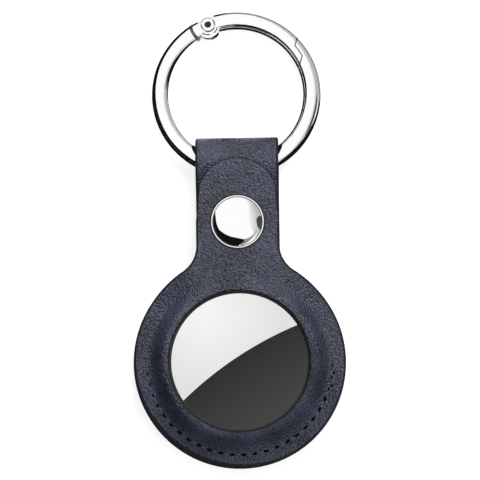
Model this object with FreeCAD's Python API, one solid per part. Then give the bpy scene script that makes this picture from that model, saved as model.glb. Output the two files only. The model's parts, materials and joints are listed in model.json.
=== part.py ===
import FreeCAD, Part
import math
import os

V = FreeCAD.Vector

# Driving dimensions in millimetres. Heights start at the table the holder lies on,
# and lengths along Y start at the middle of the round pocket.

# Leatherwork
leather = 1.2
lining = 0.4
pocket_room = 1.4
seam_width = 3.8
lip_overlap = 2.0
lip_flat = 0.6
lip_round = 0.2
foot_round = 0.8
lining_show = 0.3
neck_fillet = 6.0
neck_angle = 25.0
pocket_angle = 58.0
strap_w = 16.6
tongue_tip_w = 15.4
tongue_arch = 5.4
fold_offset = 4.1
tongue_past_crest = 0.2
loop_in_r = 3.5
loop_bend = 3.0
flap_overlap = 6.3

# Seam
thread_w = 0.45
thread_rise = 0.3
stitch_pitch = 2.28
stitch_fill = 0.74
stitch_inset = 2.7
seam_start = 186.0
seam_end = 357.0

# Snap fastener
snap_offset = 6.6
snap_to_loop = 12.6
cap_r = 5.3
cap_rise = 1.9
cap_shoulder_run = 1.6
cap_crown_r = cap_r - cap_shoulder_run
cap_crown = 0.9
cap_shoulder = 0.78
cap_rim = 0.35
cap_rim_round = 0.12
cap_shank_r = 1.3
socket_r = 4.2
socket_h = 1.85
socket_mouth_r = 2.7
socket_roof = 0.4
groove_r = 3.6
stud_flange_r = 3.6
stud_flange = 0.4
stud_head_r = 1.95
stud_head = 0.5
stud_neck_r = 1.6
spring_wire_r = 0.25
post_r = 4.4
post_flange = 0.8
post_shank_r = 1.0

# Spring-gate ring
ring_r = 15.2
wire_r = 1.75
ring_back = 0.1
pivot_angle = 111.3
lap_start = 38.7
lap_end = 28.9
heel_r = 3.4
knuckle_r = 2.3
knuckle_shift = 0.3
knuckle_half = 1.3
pin_r = 0.6
pin_head_r = 1.3
pin_head = 0.3
pin_dimple_r = 0.55
tongue_plate = 1.2
tongue_eye_r = 1.4
gate_bore_r = 0.65
gate_bore_inset = 0.35
gate_spring_len = 2.2
gate_spring_wire = 0.22
gate_spring_pitch = 0.44

# Tracker tag
tag_d = 32.0
tag_edge_h = 6.4
tag_bezel = 1.6
cover_crown = 0.7
base_crown = 0.9
cover_wall = 0.4
base_floor = 1.0
base_wall = 1.45
carrier_w = 2.5
battery_h = 3.2
board_t = 0.8
coil_r = 5.0
coil_wall = 0.9
coil_h = 0.7
magnet_h = 1.0
tray_t = 0.6
cup_wall = 1.2
contact_t = 0.2
contact_w = 1.6
lug_h = 0.3
lug_arc = 20.0

# Clearances
table_gap = 0.05
tag_fit = 0.15
shoulder_fit = 0.3
layer_fit = 0.1
flap_fit = 0.05
ring_gap = 0.12
pin_fit = 0.05
inner_fit = 0.15

# Sizes that follow from the driving dimensions
tag_r = tag_d / 2
cavity_r = tag_r + pocket_room
disc_r = cavity_r + seam_width
window_r = tag_r - lip_overlap
cover_r = tag_r - tag_bezel
stitch_r = disc_r - stitch_inset
strap_half = strap_w / 2

mid_z = leather + lining + tag_fit + tag_edge_h / 2
lip_z = mid_z + tag_edge_h / 2 + tag_fit + lining
lip_top = lip_z + leather
rim_top = mid_z + leather
flap_z = mid_z + flap_fit
strap_z = mid_z - leather

fold_y = tag_r + fold_offset
snap_y = disc_r + snap_offset
loop_y = snap_y + snap_to_loop
flat_end_y = snap_y + max(socket_r, post_r) + layer_fit
flap_end_y = snap_y - flap_overlap
tip_y = loop_y + tongue_past_crest
loop_r = loop_in_r + leather / 2
loop_z = loop_in_r + leather + table_gap

stud_z = flap_z + leather
socket_z = stud_z + stud_flange + layer_fit
tongue_z = socket_z + socket_h
tongue_top = tongue_z + leather
crest_z = max(tongue_z, loop_z + loop_in_r + leather + table_gap)

inside_at_edge = math.sqrt((ring_r - wire_r) ** 2 - strap_half ** 2)
ring_pivot_y = loop_y - ring_back
pivot_to_center = (ring_r + wire_r + inside_at_edge) / 2
ring_tilt = math.asin((loop_z - wire_r) / (pivot_to_center + ring_r))
ring_y = ring_pivot_y + pivot_to_center * math.cos(ring_tilt)
ring_z = loop_z - pivot_to_center * math.sin(ring_tilt)
ring_top_y = ring_y + ring_r * math.cos(ring_tilt) + wire_r
pocket_y = (disc_r - ring_top_y) / 2


def polar(radius, degrees):
    angle = math.radians(degrees)
    return V(radius * math.cos(angle), radius * math.sin(angle), 0)


def outline_wire(profile, corners):
    """Closed outline of radius and height points, rounded where corners gives a radius."""
    points = [V(0, r, z) for r, z in profile]
    edges, ends = [], []
    for index, point in enumerate(points):
        before = (points[index - 1] - point).normalize()
        after = (points[(index + 1) % len(points)] - point).normalize()
        half = before.getAngle(after) / 2
        radius = corners.get(index, 0)
        cut = radius / math.tan(half)
        ends.append((point + before * cut, point + after * cut))
        if radius > 0:
            inward = (before + after).normalize()
            crown = point + inward * (radius / math.sin(half) - radius)
            edges.append(arc_through(ends[-1][0], crown, ends[-1][1]))
    for here, there in zip(ends, ends[1:] + ends[:1]):
        edges.append(Part.LineSegment(here[1], there[0]).toShape())
    return Part.Wire(Part.__sortEdges__(edges))


def turned(profile, start=0.0, sweep=360.0, corners={}):
    """Revolve a radius and height outline about Z. Angles start at +Y."""
    outline = Part.Face(outline_wire(profile, corners))
    outline.rotate(V(), V(0, 0, 1), start)
    return outline.revolve(V(), V(0, 0, 1), sweep)


def cylinder(radius, z_low, z_high, x=0.0, y=0.0):
    return Part.makeCylinder(radius, z_high - z_low, V(x, y, z_low))


def box(x_size, y_low, y_high, z_low, z_high):
    return Part.makeBox(x_size, y_high - y_low, z_high - z_low, V(-x_size / 2, y_low, z_low))


def arc_through(a, b, c):
    return Part.Arc(a, b, c).toShape()


def band(start, moves, thickness, width):
    """A sheet of even thickness along a path of runs and bends in the YZ plane."""
    y, z = start
    heading = 0.0
    left, right = [], []
    for radius, amount in moves:
        ahead = math.radians(heading)
        normal = V(0, -math.sin(ahead), math.cos(ahead))
        here = V(0, y, z)
        if radius == 0:
            there = here + V(0, math.cos(ahead), math.sin(ahead)) * amount
            for side, sign in ((left, 0.5), (right, -0.5)):
                shift = normal * (sign * thickness)
                side.append(Part.LineSegment(here + shift, there + shift).toShape())
        else:
            center = here + normal * radius
            turn = math.copysign(amount, radius)
            spin = [FreeCAD.Rotation(V(1, 0, 0), turn * part) for part in (0, 0.5, 1)]
            for side, sign in ((left, 0.5), (right, -0.5)):
                arm = here + normal * (sign * thickness) - center
                side.append(arc_through(*[center + r.multVec(arm) for r in spin]))
            there = center + spin[2].multVec(here - center)
            heading += turn
        y, z = there.y, there.z
    caps = []
    for end in (0, -1):
        pair = [side[end].Vertexes[end].Point for side in (left, right)]
        caps.append(Part.LineSegment(*pair).toShape())
    outline = Part.Face(Part.Wire(Part.__sortEdges__(left + right + caps)))
    sheet = outline.extrude(V(width, 0, 0))
    sheet.translate(V(-width / 2, 0, 0))
    return sheet


def lean(rise, length):
    """Two equal bends that climb by rise over length: bend angle and bend radius."""
    angle = 2 * math.atan2(rise, length)
    return math.degrees(angle), length / (2 * math.sin(angle))


def plan_outline(top_y):
    """Round pocket, filleted neck and straight strap, seen from above."""
    center = V(strap_half + neck_fillet, 0, 0)
    reach = disc_r + neck_fillet
    center.y = math.sqrt(reach ** 2 - center.x ** 2)
    on_disc = center * (disc_r / reach)
    on_strap = V(strap_half, center.y, 0)
    middle = center + ((on_disc + on_strap) * 0.5 - center).normalize() * neck_fillet
    corner = V(strap_half, top_y, 0)
    mirror = [V(-p.x, p.y, 0) for p in (corner, on_strap, middle, on_disc)]
    edges = [
        Part.LineSegment(corner, on_strap).toShape(),
        arc_through(on_strap, middle, on_disc),
        arc_through(on_disc, V(0, -disc_r, 0), mirror[3]),
        arc_through(mirror[3], mirror[2], mirror[1]),
        Part.LineSegment(mirror[1], mirror[0]).toShape(),
        Part.LineSegment(mirror[0], corner).toShape(),
    ]
    return Part.Face(Part.Wire(edges))


def prism(face, z_low, z_high):
    solid = face.extrude(V(0, 0, z_high - z_low))
    solid.translate(V(0, 0, z_low))
    return solid


def cavity_slope():
    """Radius gained per millimetre of drop along the inside of the pocket wall."""
    return (cavity_r - window_r - lip_flat) / (lip_z - mid_z)


def sheet_section(neck_share, inner_r, outer_r):
    """Cross-section of the front leather: 0 is the moulded pocket, 1 the flat neck."""
    slope = cavity_slope()
    gain = leather * (math.hypot(1, slope) - slope)
    inner_lip = window_r + lip_flat
    low = mid_z + (tongue_z - mid_z) * neck_share
    return [
        (inner_r, lip_top),
        (inner_lip + gain, lip_top),
        (cavity_r + gain, low + leather),
        (outer_r, low + leather),
        (outer_r, low),
        (cavity_r, low),
        (inner_lip, lip_z),
        (inner_r, lip_z),
    ]


# Bend radii of that section by corner: lip and foot on the upper side, foot and lip below
sheet_bends = {1: lip_round + leather, 2: foot_round, 5: foot_round + leather, 6: lip_round}


def radial_wire(degrees, profile):
    wire = outline_wire(profile, sheet_bends)
    wire.rotate(V(), V(0, 0, 1), degrees)
    return wire


def front_leather():
    inner_r = window_r - leather
    outer_r = disc_r + neck_fillet
    pocket = sheet_section(0, inner_r, outer_r)
    neck = sheet_section(1, inner_r, outer_r)
    sheet = turned(pocket, pocket_angle, 360 - 2 * pocket_angle, sheet_bends)
    sheet = sheet.fuse(turned(neck, -neck_angle, 2 * neck_angle, sheet_bends))
    for side in (1, -1):
        wires = []
        for step in range(5):
            part = step / 4
            share = part * part * (3 - 2 * part)
            degrees = side * (pocket_angle + (neck_angle - pocket_angle) * part)
            wires.append(radial_wire(degrees, sheet_section(share, inner_r, outer_r)))
        sheet = sheet.fuse(Part.makeLoft(wires, True, False))
    sheet = sheet.common(prism(plan_outline(tip_y), 0, lip_top + leather))
    return sheet.cut(cylinder(window_r, 0, lip_top + leather))


def tongue_outline():
    """The strap outline narrowing to an arched tip."""
    shoulder_y = tip_y - tongue_arch
    tip_half = tongue_tip_w / 2
    edges = [
        arc_through(V(tip_half, shoulder_y, 0), V(0, tip_y, 0), V(-tip_half, shoulder_y, 0)),
        Part.makePolygon([
            V(-tip_half, shoulder_y, 0),
            V(-strap_half, snap_y, 0),
            V(-disc_r, snap_y, 0),
            V(-disc_r, 0, 0),
            V(disc_r, 0, 0),
            V(disc_r, snap_y, 0),
            V(strap_half, snap_y, 0),
            V(tip_half, shoulder_y, 0),
        ]),
    ]
    wide = Part.Face(Part.Wire(edges[0].Edges + edges[1].Edges))
    return plan_outline(tip_y).common(wide)


def tongue_sheet():
    """The tongue lies flat under the snap cap, then climbs over the loop."""
    climb_y = snap_y + cap_r + layer_fit
    angle, bend = lean(crest_z - tongue_z, loop_y - climb_y)
    moves = [
        (0, climb_y - fold_y),
        (bend, angle),
        (-bend, angle),
        (0, tongue_past_crest),
    ]
    sheet = band((fold_y, tongue_z + leather / 2), moves, leather, 2 * disc_r)
    sheet = sheet.common(prism(tongue_outline(), 0, crest_z + 2 * leather))
    return sheet.cut(cylinder(cap_shank_r, tongue_z, tongue_top, 0, snap_y))


def crossing_tangent(flat_z, side):
    """From the flat layer's bend to the loop: bend angle and straight length."""
    across = loop_y - flat_end_y
    rise = side * (flat_z - loop_z) + loop_bend
    apart = math.hypot(across, rise)
    reach = loop_bend + loop_r
    angle = math.degrees(math.asin(reach / apart) - math.atan2(rise, across))
    return angle, math.sqrt(apart ** 2 - reach ** 2)


def back_leather():
    """Back pocket half, strap, loop round the ring and flap, in one piece."""
    pocket = sheet_section(0, window_r, disc_r)
    pocket_half = turned([(r, 2 * mid_z - z) for r, z in pocket], corners=sheet_bends)
    neck = prism(plan_outline(flat_end_y), strap_z, mid_z)
    neck = neck.cut(cylinder(stitch_r, 0, lip_top))
    down, down_run = crossing_tangent(strap_z + leather / 2, -1)
    up, up_run = crossing_tangent(flap_z + leather / 2, 1)
    moves = [
        (0, flat_end_y - disc_r),
        (-loop_bend, down),
        (0, down_run),
        (loop_r, 180 + down + up),
        (0, up_run),
        (-loop_bend, up),
        (0, flat_end_y - flap_end_y),
    ]
    strap = band((disc_r, mid_z - leather / 2), moves, leather, strap_w)
    shank = cylinder(post_shank_r, strap_z, stud_z, 0, snap_y)
    return pocket_half.fuse([neck, strap]).removeSplitter().cut(shank)


def lining_ring(z_low):
    outer = window_r + lip_flat - tag_fit
    inner = window_r - lining_show
    return cylinder(outer, z_low, z_low + lining).cut(cylinder(inner, 0, lip_top))


def stitch_row(surface_z, side):
    """Staples of thread: a low arch over the rim, and two legs down to the seam."""
    count = round(math.radians(seam_end - seam_start) * stitch_r / stitch_pitch)
    half = stitch_pitch * stitch_fill / 2
    leg = half - thread_w
    foot = mid_z + side * layer_fit
    top = surface_z + side * thread_rise
    arch = arc_through(V(0, -half, surface_z), V(0, 0, top), V(0, half, surface_z))
    below = Part.makePolygon([
        V(0, half, surface_z),
        V(0, half, foot),
        V(0, leg, foot),
        V(0, leg, surface_z),
        V(0, -leg, surface_z),
        V(0, -leg, foot),
        V(0, -half, foot),
        V(0, -half, surface_z),
    ])
    staple = Part.Face(Part.Wire([arch] + below.Edges)).extrude(V(thread_w, 0, 0))
    staple.translate(V(stitch_r - thread_w / 2, 0, 0))
    stitches = []
    for index in range(count):
        degrees = seam_start + (seam_end - seam_start) * (index + 0.5) / count
        stitches.append(staple.rotated(V(), V(0, 0, 1), degrees))
    return Part.makeCompound(stitches)


def at_snap(profile):
    solid = turned(profile)
    solid.translate(V(0, snap_y, 0))
    return solid


def snap_cap():
    """Domed cap with a steeper shoulder, a narrow rim and a shank through the tongue."""
    top_z = tongue_top + cap_rise
    crown_z = top_z - cap_crown
    rim_z = crown_z - cap_shoulder
    rim_r = cap_r - cap_rim
    crown = (cap_crown_r ** 2 + cap_crown ** 2) / (2 * cap_crown)
    half_r = cap_crown_r / 2
    half_z = top_z - crown + math.sqrt(crown ** 2 - half_r ** 2)
    leaving = V(0, cap_crown_r, crown_z - top_z + crown) / crown
    chord = V(0, rim_r - cap_crown_r, rim_z - crown_z)
    bend = -chord.Length ** 2 / (2 * chord.dot(leaving))
    center = V(0, cap_crown_r, crown_z) - leaving * bend
    middle = V(0, cap_crown_r, crown_z) + chord * 0.5 - center
    shoulder = center + middle.normalize() * abs(bend)
    slant = cap_rim_round * math.sqrt(0.5)
    edges = [
        arc_through(V(0, 0, top_z), V(0, half_r, half_z), V(0, cap_crown_r, crown_z)),
        arc_through(V(0, cap_crown_r, crown_z), shoulder, V(0, rim_r, rim_z)),
        arc_through(
            V(0, cap_r - cap_rim_round, rim_z),
            V(0, cap_r - cap_rim_round + slant, rim_z - cap_rim_round + slant),
            V(0, cap_r, rim_z - cap_rim_round),
        ),
        Part.LineSegment(V(0, rim_r, rim_z), V(0, cap_r - cap_rim_round, rim_z)).toShape(),
    ]
    edges += Part.makePolygon([
        V(0, cap_r, rim_z - cap_rim_round),
        V(0, cap_r, tongue_top),
        V(0, cap_shank_r, tongue_top),
        V(0, cap_shank_r, tongue_z - socket_roof),
        V(0, 0, tongue_z - socket_roof),
        V(0, 0, top_z),
    ]).Edges
    solid = Part.Face(Part.Wire(Part.__sortEdges__(edges))).revolve(V(), V(0, 0, 1), 360)
    solid.translate(V(0, snap_y, 0))
    return solid


def snap_heights():
    """Underside of the stud's head, and the spring wires' height just below it."""
    head_z = tongue_z - socket_roof - layer_fit - stud_head
    return head_z, head_z - layer_fit - spring_wire_r


def snap_socket():
    roof_z = tongue_z - socket_roof
    wire_z = snap_heights()[1]
    groove = spring_wire_r + layer_fit / 2
    return at_snap([
        (socket_mouth_r, socket_z),
        (socket_r, socket_z),
        (socket_r, tongue_z),
        (cap_shank_r, tongue_z),
        (cap_shank_r, roof_z),
        (socket_mouth_r, roof_z),
        (socket_mouth_r, wire_z + groove),
        (groove_r, wire_z + groove),
        (groove_r, wire_z - groove),
        (socket_mouth_r, wire_z - groove),
    ])


def snap_spring():
    """Two straight wires that lie in the socket's groove beside the stud's neck."""
    wire_x = stud_neck_r + layer_fit / 2 + spring_wire_r
    reach = groove_r - layer_fit
    half = math.sqrt(reach ** 2 - (wire_x + spring_wire_r) ** 2)
    wire_z = snap_heights()[1]
    wires = []
    for side in (1, -1):
        start = V(side * wire_x, snap_y - half, wire_z)
        wires.append(Part.makeCylinder(spring_wire_r, 2 * half, start, V(0, 1, 0)))
    return Part.makeCompound(wires)


def snap_stud():
    head_z = snap_heights()[0]
    head_top = head_z + stud_head
    return at_snap([
        (post_shank_r, stud_z),
        (stud_flange_r, stud_z),
        (stud_flange_r, stud_z + stud_flange),
        (stud_neck_r, stud_z + stud_flange),
        (stud_neck_r, head_z),
        (stud_head_r, head_z + stud_head * 0.3),
        (stud_head_r, head_z + stud_head * 0.6),
        (stud_neck_r, head_top),
        (0, head_top),
        (0, head_z),
        (post_shank_r, head_z),
    ])


def snap_post():
    """Flat-headed post from the back that clamps strap, flap and stud."""
    edge_z = strap_z - post_flange / 2
    return at_snap([
        (0, strap_z - post_flange),
        (post_r * 0.7, strap_z - post_flange),
        (post_r, edge_z),
        (post_r, strap_z),
        (post_shank_r, strap_z),
        (post_shank_r, snap_heights()[0]),
        (0, snap_heights()[0]),
    ])


def seated(ring_piece):
    """Lean a piece drawn in the ring's own plane and hang it in the loop."""
    placed = ring_piece.copy()
    placed.rotate(V(), V(1, 0, 0), -math.degrees(ring_tilt))
    placed.translate(V(0, ring_y, ring_z))
    return placed


def pivot_cylinder(radius, z_low, z_high, inward=0.0):
    center = polar(ring_r - inward, pivot_angle)
    return cylinder(radius, z_low, z_high, center.x, center.y)


def along_gate(length, width, height, ahead, inward=0.0):
    """A block along the wire at the pivot, running from ahead towards the nose."""
    block = Part.makeBox(length, width, height, V(ahead, -width / 2 - inward, -height / 2))
    block.rotate(V(), V(0, 0, 1), pivot_angle - 90)
    block.translate(polar(ring_r, pivot_angle))
    return block


def gate_zone(gap):
    """Space of the gate: the heel turns on the pivot, the nose laps inside the body."""
    pivot = polar(ring_r, pivot_angle)
    reach = 3 * wire_r
    start = polar(ring_r, lap_start)
    end = polar(ring_r, lap_end)
    from_start = (start - pivot).normalize()
    from_end = (end - pivot).normalize()
    start += from_start * gap
    end += from_end * gap
    middle = polar(ring_r + gap, (lap_start + lap_end) / 2)
    outside = start + V(-from_start.y, from_start.x, 0) * reach
    inside = end + V(from_end.y, -from_end.x, 0) * reach
    edges = [arc_through(start, middle, end)]
    edges += Part.makePolygon([
        end,
        inside,
        polar(ring_r - reach, pivot_angle),
        polar(ring_r + reach, pivot_angle),
        polar(ring_r + 2 * reach, (pivot_angle + lap_start) / 2),
        outside,
        start,
    ]).Edges
    zone = prism(Part.Face(Part.Wire(edges)), -reach, reach)
    return zone.fuse(pivot_cylinder(heel_r + gap, -reach, reach))


def ring_body():
    """Open round wire ending in a flat eye at the hinge and an outer lip at the nose."""
    wire = Part.makeTorus(ring_r, wire_r).cut(gate_zone(ring_gap))
    pivot = polar(ring_r, pivot_angle)
    stem = along_gate(heel_r + wire_r, 2 * tongue_eye_r, tongue_plate, -heel_r - wire_r)
    stem = stem.common(Part.makeTorus(ring_r, wire_r))
    eye = pivot_cylinder(tongue_eye_r, -tongue_plate / 2, tongue_plate / 2)
    hole = pivot_cylinder(pin_r + pin_fit, -wire_r, wire_r)
    largest = max(wire.Solids, key=lambda solid: solid.Volume)
    return largest.fuse([stem, eye]).removeSplitter().cut(hole)


def gate_spring_bore(radius, length):
    start = polar(ring_r - gate_bore_inset, pivot_angle)
    ahead = polar(1, pivot_angle - 90)
    return Part.makeCylinder(radius, length, start + ahead * (tongue_eye_r + inner_fit), ahead)


def ring_gate():
    """Gate with two cheeks round the body's eye, a knuckle and a bore for its spring."""
    knuckle = pivot_cylinder(knuckle_r, -knuckle_half, knuckle_half, knuckle_shift)
    gate = Part.makeTorus(ring_r, wire_r).common(gate_zone(0)).fuse(knuckle)
    slot_h = tongue_plate + 2 * layer_fit
    eye_r = tongue_eye_r + inner_fit
    slot = along_gate(heel_r + 2 * wire_r, 4 * wire_r, slot_h, -heel_r - wire_r * 1.7)
    slot = slot.fuse(pivot_cylinder(eye_r, -slot_h / 2, slot_h / 2))
    seat = knuckle_half + layer_fit
    cuts = [slot, gate_spring_bore(gate_bore_r, gate_spring_len)]
    cuts.append(pivot_cylinder(pin_r, -wire_r, wire_r))
    cuts.append(pivot_cylinder(pin_head_r, seat, 2 * wire_r))
    cuts.append(pivot_cylinder(pin_head_r, -2 * wire_r, -seat))
    return gate.removeSplitter().cut(cuts)


def gate_pin():
    """Rivet with a flat head at each end, dished where it was set."""
    seat = knuckle_half + layer_fit
    top = seat + pin_head
    pin = pivot_cylinder(pin_r, -seat, seat)
    pin = pin.fuse(pivot_cylinder(pin_head_r, seat, top))
    pin = pin.fuse(pivot_cylinder(pin_head_r, -top, -seat))
    middle = polar(ring_r, pivot_angle)
    dishes = [Part.makeSphere(pin_dimple_r, middle + V(0, 0, z)) for z in (top, -top)]
    return pin.removeSplitter().cut(dishes)


def gate_spring():
    """Coil of round wire in the gate's bore."""
    wire_r_spring = gate_spring_wire / 2
    coil_radius = gate_bore_r - pin_fit - wire_r_spring
    helix = Part.makeHelix(gate_spring_pitch, gate_spring_len - gate_spring_wire, coil_radius)
    section = Part.Wire(Part.makeCircle(wire_r_spring, V(coil_radius, 0, 0), V(0, 1, 0)))
    coil = Part.Wire(helix).makePipeShell([section], True, True)
    ahead = polar(1, pivot_angle - 90)
    start = polar(ring_r - gate_bore_inset, pivot_angle)
    start += ahead * (tongue_eye_r + inner_fit + wire_r_spring)
    coil.Placement = FreeCAD.Placement(start, FreeCAD.Rotation(V(0, 0, 1), ahead))
    return coil


# Heights inside the tag
tag_low = mid_z - tag_edge_h / 2
tag_high = mid_z + tag_edge_h / 2
floor_z = tag_low + base_floor
board_z = floor_z + board_t
tray_z = max(board_z, floor_z + magnet_h + layer_fit)
cell_z = tray_z + tray_t + contact_t
bore_r = tag_r - base_wall
skirt_z = tag_high - 2 * cover_wall
lug_z = skirt_z - layer_fit - lug_h
tab_z = lug_z - tag_fit - lug_h
cup_r = cover_r - cover_wall - carrier_w - cup_wall - inner_fit
cell_r = cup_r - inner_fit


def crown_wire(crown, z, radius):
    """Shallow dome line from the axis out to radius at height z."""
    dome = (radius ** 2 + crown ** 2) / (2 * crown)
    half = radius / 2
    half_z = z + crown - dome + math.sqrt(dome ** 2 - half ** 2)
    return arc_through(V(0, 0, z + crown), V(0, half, half_z), V(0, radius, z))


def spun(edges):
    return Part.Face(Part.Wire(edges)).revolve(V(), V(0, 0, 1), 360)


def lug_ring(inner_r, outer_r, z_low):
    profile = [
        (inner_r, z_low),
        (outer_r, z_low),
        (outer_r, z_low + lug_h),
        (inner_r, z_low + lug_h),
    ]
    return [turned(profile, 120 * index - lug_arc / 2, lug_arc) for index in range(3)]


def tag_base():
    """Domed cup with rounded shoulders and three lugs that hold the battery cover."""
    shoulder = lip_z - (tag_r + shoulder_fit - window_r - lip_flat) / cavity_slope() - mid_z
    low = crown_wire(base_crown, -tag_low, cover_r)
    low = low.mirror(V(), V(0, 0, 1))
    rest = Part.makePolygon([
        V(0, cover_r, tag_low),
        V(0, tag_r, mid_z - shoulder),
        V(0, tag_r, mid_z + shoulder),
        V(0, bore_r, tag_high - layer_fit),
        V(0, bore_r, floor_z),
        V(0, 0, floor_z),
        V(0, 0, tag_low - base_crown),
    ])
    cup = spun(low.Edges + rest.Edges)
    return cup.fuse(lug_ring(cover_r - 2 * inner_fit, bore_r, lug_z)).removeSplitter()


def tag_cover():
    """Polished pressed cover with a short turned-down skirt."""
    inner_r = cover_r - cover_wall
    inner_z = tag_high - cover_wall
    rest = [
        Part.makePolygon([
            V(0, cover_r, tag_high),
            V(0, cover_r, skirt_z),
            V(0, inner_r, skirt_z),
            V(0, inner_r, inner_z),
        ]),
        crown_wire(cover_crown, inner_z, inner_r),
        Part.makePolygon([V(0, 0, inner_z + cover_crown), V(0, 0, tag_high + cover_crown)]),
    ]
    edges = crown_wire(cover_crown, tag_high, cover_r).Edges
    for wire in rest:
        edges += wire.Edges
    return spun(edges)


def tag_cover_carrier():
    """Plastic ring in the cover's skirt, with three tabs that turn under the lugs."""
    inner_r = cover_r - cover_wall
    top_z = tag_high + cover_crown
    ring = cylinder(inner_r, skirt_z, top_z).fuse(cylinder(inner_r - inner_fit, tab_z, skirt_z))
    ring = ring.cut(cylinder(cup_r + cup_wall + inner_fit, 0, top_z))
    under = [
        crown_wire(cover_crown, tag_high - cover_wall, inner_r),
        Part.makePolygon([
            V(0, inner_r, tag_high - cover_wall),
            V(0, inner_r, 0),
            V(0, 0, 0),
            V(0, 0, tag_high - cover_wall + cover_crown),
        ]),
    ]
    ring = ring.common(spun(under[0].Edges + under[1].Edges))
    tabs = lug_ring(inner_r - inner_fit - lug_h, bore_r - inner_fit, tab_z)
    trim = cylinder(cover_r - 3 * inner_fit, lug_z - tag_fit, skirt_z)
    sleeve = cylinder(cover_r, lug_z - tag_fit, skirt_z).cut(trim)
    return ring.cut(sleeve).fuse(tabs).removeSplitter()


def tag_frame():
    """Battery cup and tray that clamps the board to the floor."""
    outer_r = bore_r - inner_fit
    return turned([
        (0, tray_z),
        (outer_r - cup_wall, tray_z),
        (outer_r - cup_wall, board_z),
        (outer_r, board_z),
        (outer_r, tray_z + tray_t),
        (cup_r + cup_wall, tray_z + tray_t),
        (cup_r + cup_wall, tab_z - layer_fit),
        (cup_r, tab_z - layer_fit),
        (cup_r, tray_z + tray_t),
        (0, tray_z + tray_t),
    ])


def tag_contacts():
    """Three leaf contacts on the tray, under the coin cell."""
    leaf = box(contact_w, coil_r, cell_r, cell_z - contact_t, cell_z)
    return Part.makeCompound([leaf.rotated(V(), V(0, 0, 1), 120 * i) for i in range(3)])


def tube(outer_r, inner_r, z_low, z_high):
    return cylinder(outer_r, z_low, z_high).cut(cylinder(inner_r, z_low, z_high))


front = front_leather()
open_side = box(4 * disc_r, -2 * disc_r, fold_y, 0, 2 * lip_top)

nodes = {
    "front_panel": front.common(open_side),
    "front_tongue": tongue_sheet(),
    "back_panel": back_leather(),
    "front_lining": lining_ring(lip_z - lining),
    "back_lining": lining_ring(leather),
    "needle_thread": stitch_row(rim_top, 1),
    "bobbin_thread": stitch_row(strap_z, -1),
    "snap_cap": snap_cap(),
    "snap_socket": snap_socket(),
    "snap_spring": snap_spring(),
    "snap_stud": snap_stud(),
    "snap_post": snap_post(),
    "ring_body": seated(ring_body()),
    "ring_gate": seated(ring_gate()),
    "gate_pin": seated(gate_pin()),
    "gate_spring": seated(gate_spring()),
    "tag_base": tag_base(),
    "tag_cover": tag_cover(),
    "tag_cover_carrier": tag_cover_carrier(),
    "tag_frame": tag_frame(),
    "tag_battery": cylinder(cell_r, cell_z, cell_z + battery_h),
    "tag_contacts": tag_contacts(),
    "tag_board": tube(bore_r - inner_fit, coil_r + inner_fit, floor_z, board_z),
    "tag_voice_coil": tube(coil_r, coil_r - coil_wall, floor_z, floor_z + coil_h),
    "tag_magnet": cylinder(coil_r - coil_wall - inner_fit, tray_z - magnet_h, tray_z),
}

os.makedirs("parts", exist_ok=True)
for name, shape in nodes.items():
    shape.translate(V(0, pocket_y, 0))
    shape.exportStep(f"parts/{name}.step")
    print(name, len(shape.Solids), round(shape.Volume, 2), shape.isValid())

pivot = seated(Part.Vertex(polar(ring_r, pivot_angle))).Point
print("pocket centre y", round(pocket_y, 4), "fold", round(fold_y + pocket_y, 4), round(tongue_top, 4))
print("ring pivot", round(ring_pivot_y + pocket_y, 4), round(loop_z, 4), "ring y", round(ring_y + pocket_y, 4))
print("gate pivot", round(pivot.x, 4), round(pivot.y + pocket_y, 4), round(pivot.z, 4))
print("ring tilt", round(math.degrees(ring_tilt), 4))
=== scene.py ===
import json
from math import asin, atan2, copysign, cos, degrees, hypot, pi, radians, sin, sqrt, tan
import bmesh
import bpy
from mathutils import Matrix, Vector
from mathutils.bvhtree import BVHTree
from mathutils.geometry import delaunay_2d_cdt

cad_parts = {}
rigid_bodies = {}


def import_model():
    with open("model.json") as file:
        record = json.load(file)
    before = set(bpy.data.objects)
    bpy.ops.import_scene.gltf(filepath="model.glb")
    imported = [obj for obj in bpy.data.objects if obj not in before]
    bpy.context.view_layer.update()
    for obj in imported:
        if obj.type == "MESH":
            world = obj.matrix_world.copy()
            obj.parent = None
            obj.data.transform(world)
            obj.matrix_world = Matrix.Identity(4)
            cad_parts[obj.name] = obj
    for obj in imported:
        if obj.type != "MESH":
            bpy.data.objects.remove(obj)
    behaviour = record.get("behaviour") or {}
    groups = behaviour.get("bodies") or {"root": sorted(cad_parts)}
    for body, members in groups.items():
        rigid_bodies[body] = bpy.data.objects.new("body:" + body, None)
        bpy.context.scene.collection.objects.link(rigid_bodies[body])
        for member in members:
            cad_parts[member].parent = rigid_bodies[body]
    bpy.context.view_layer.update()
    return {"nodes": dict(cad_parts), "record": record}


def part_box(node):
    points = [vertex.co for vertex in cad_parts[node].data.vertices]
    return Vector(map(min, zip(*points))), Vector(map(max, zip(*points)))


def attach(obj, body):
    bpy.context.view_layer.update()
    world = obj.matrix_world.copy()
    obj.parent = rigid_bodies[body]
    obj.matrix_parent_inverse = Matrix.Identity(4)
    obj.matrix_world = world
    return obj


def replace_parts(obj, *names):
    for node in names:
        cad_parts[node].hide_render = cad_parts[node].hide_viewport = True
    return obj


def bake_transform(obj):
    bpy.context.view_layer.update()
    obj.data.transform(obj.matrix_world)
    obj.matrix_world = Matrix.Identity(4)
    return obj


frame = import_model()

scene = bpy.context.scene
print("frame loaded:", len(frame["nodes"]), "nodes")


def boxMm(node):
    low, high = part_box(node)
    return Vector(low) * 1000, Vector(high) * 1000


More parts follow.
